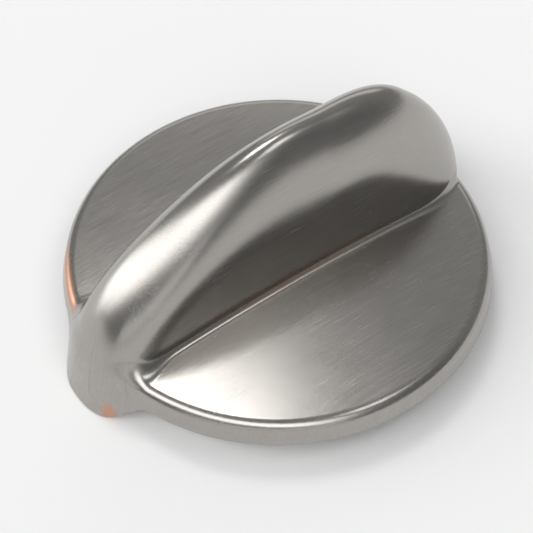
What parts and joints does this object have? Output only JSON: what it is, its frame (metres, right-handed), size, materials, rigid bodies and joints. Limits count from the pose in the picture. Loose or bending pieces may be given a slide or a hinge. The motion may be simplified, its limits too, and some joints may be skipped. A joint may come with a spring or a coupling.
{
  "type": "stove knob",
  "caption": "Control knob for a cooker: a low round skirt crossed by a tall thin grip whose nose laps over the rim as a pointer, with a D-shaped shaft socket.",
  "frame": {"origin": "on the spindle axis, in the plane of the panel: the level of the hub's end face and of the foot of the nose", "axes": "+X along the grip towards its tail, so the nose points to -X; +Z out of the panel, towards the crest of the grip; +Y completes the frame"},
  "size_m": [0.0592, 0.0556, 0.0291],
  "materials": {
    "nickel_plate": "brushed satin nickel plate over copper on a zinc casting, worn through to copper in two places",
    "black_nylon": "moulded glass-filled nylon",
    "spring_steel": "plain rolled spring strip"
  },
  "bodies": {
    "root": {"knob_body": "nickel_plate", "shaft_insert": "black_nylon", "spring_clip": "spring_steel"}
  },
  "joints": []
}
